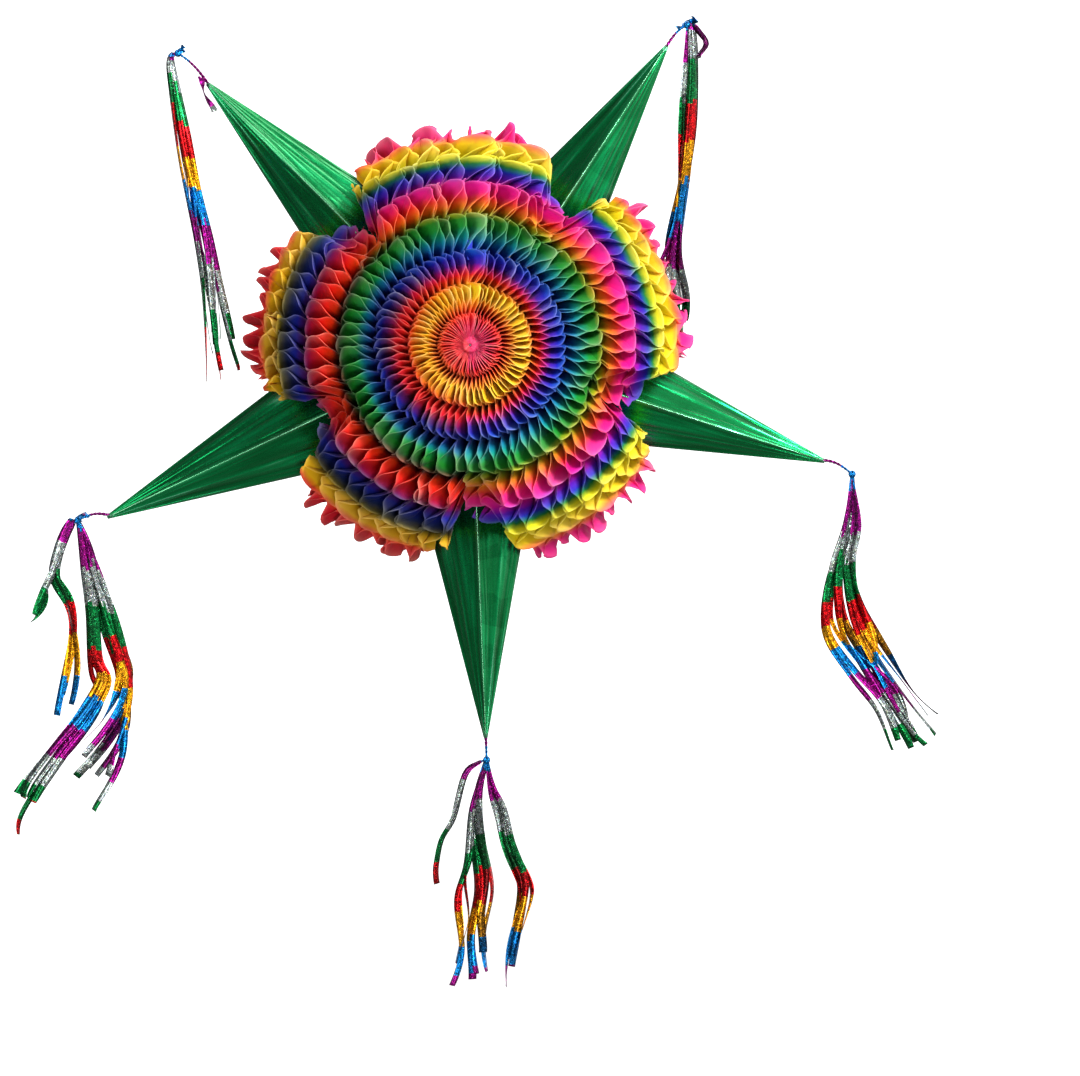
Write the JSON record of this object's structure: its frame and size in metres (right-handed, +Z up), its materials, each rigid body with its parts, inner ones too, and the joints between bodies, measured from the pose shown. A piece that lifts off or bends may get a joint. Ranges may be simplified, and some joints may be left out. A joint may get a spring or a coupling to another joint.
{
  "type": "folding star pinata",
  "caption": "Hanging star pinata: a scalloped honeycomb tissue ball with foil card cones, a streamer tassel on each tip, a card core for sweets and a hank of rope.",
  "frame": {"origin": "centre of the hanging eye, at the top of the two cover boards", "axes": "+Z up, +X to the right of a viewer in front and along the hanging eye's bore, +Y away from that viewer and along the spine of the honeycomb"},
  "size_m": [0.9818, 0.306, 1.0167],
  "materials": {
    "dyed_tissue": "matte",
    "green_foil_card": "gloss",
    "streamer_foil": "gloss",
    "twisted_foil": "gloss",
    "core_card": "matte",
    "cover_card": "matte",
    "eyelet_metal": "polished",
    "clip_metal": "satin",
    "spine_wire": "satin",
    "white_rope": "matte"
  },
  "bodies": {
    "star": {"tissue_fan_right": "dyed_tissue", "tissue_fan_top_right": "dyed_tissue", "tissue_fan_top_left": "dyed_tissue", "tissue_fan_left": "dyed_tissue", "tissue_fan_bottom_left": "dyed_tissue", "tissue_fan_bottom_right": "dyed_tissue", "cone_upper_left": "green_foil_card", "stem_upper_left": "twisted_foil", "core_wall_upper_left": "core_card", "cone_upper_right": "green_foil_card", "stem_upper_right": "twisted_foil", "core_wall_upper_right": "core_card", "cone_lower_right": "green_foil_card", "stem_lower_right": "twisted_foil", "core_wall_lower_right": "core_card", "cone_bottom": "green_foil_card", "stem_bottom": "twisted_foil", "core_wall_bottom": "core_card", "cone_lower_left": "green_foil_card", "stem_lower_left": "twisted_foil", "core_wall_lower_left": "core_card", "core_front_board": "core_card", "core_back_board": "core_card", "cover_board_left": "cover_card", "cover_board_right": "cover_card", "hanging_eyelet": "eyelet_metal", "board_clip_front": "clip_metal", "board_clip_back": "clip_metal", "front_spine_wire": "spine_wire", "back_spine_wire": "spine_wire", "rope_stop_knot": "white_rope", "rope_tail": "white_rope", "rope_hank": "white_rope"},
    "knot_upper_left": {"tassel_knot_upper_left": "twisted_foil"},
    "streamers_upper_left": {"tassel_upper_left": "streamer_foil"},
    "knot_upper_right": {"tassel_knot_upper_right": "twisted_foil"},
    "streamers_upper_right": {"tassel_upper_right": "streamer_foil"},
    "knot_lower_right": {"tassel_knot_lower_right": "twisted_foil"},
    "streamers_lower_right": {"tassel_lower_right": "streamer_foil"},
    "knot_bottom": {"tassel_knot_bottom": "twisted_foil"},
    "streamers_bottom": {"tassel_bottom": "streamer_foil"},
    "knot_lower_left": {"tassel_knot_lower_left": "twisted_foil"},
    "streamers_lower_left": {"tassel_lower_left": "streamer_foil"}
  },
  "joints": [
    {"name": "swing_upper_left", "type": "hinge", "parent": "star", "child": "knot_upper_left", "pos_m": [-0.30651, 0, 0.08744], "axis": [0, 1, 0], "range_deg": [0, 80]},
    {"name": "nod_upper_left", "type": "hinge", "parent": "knot_upper_left", "child": "streamers_upper_left", "pos_m": [-0.30651, 0, 0.08744], "axis": [1, 0, 0], "range_deg": [-75, 75]},
    {"name": "swing_upper_right", "type": "hinge", "parent": "star", "child": "knot_upper_right", "pos_m": [0.22775, 0, 0.11716], "axis": [0, 1, 0], "range_deg": [-80, 0]},
    {"name": "nod_upper_right", "type": "hinge", "parent": "knot_upper_right", "child": "streamers_upper_right", "pos_m": [0.22775, 0, 0.11716], "axis": [1, 0, 0], "range_deg": [-75, 75]},
    {"name": "swing_lower_right", "type": "hinge", "parent": "star", "child": "knot_lower_right", "pos_m": [0.40118, 0, -0.35444], "axis": [0, 1, 0], "range_deg": [-80, 70]},
    {"name": "nod_lower_right", "type": "hinge", "parent": "knot_lower_right", "child": "streamers_lower_right", "pos_m": [0.40118, 0, -0.35444], "axis": [1, 0, 0], "range_deg": [-75, 75]},
    {"name": "swing_bottom", "type": "hinge", "parent": "star", "child": "knot_bottom", "pos_m": [0.01745, 0, -0.65447], "axis": [0, 1, 0], "range_deg": [-75, 75]},
    {"name": "nod_bottom", "type": "hinge", "parent": "knot_bottom", "child": "streamers_bottom", "pos_m": [0.01745, 0, -0.65447], "axis": [1, 0, 0], "range_deg": [-75, 75]},
    {"name": "swing_lower_left", "type": "hinge", "parent": "star", "child": "knot_lower_left", "pos_m": [-0.4116, 0, -0.40271], "axis": [0, 1, 0], "range_deg": [-50, 80]},
    {"name": "nod_lower_left", "type": "hinge", "parent": "knot_lower_left", "child": "streamers_lower_left", "pos_m": [-0.4116, 0, -0.40271], "axis": [1, 0, 0], "range_deg": [-75, 75]}
  ]
}
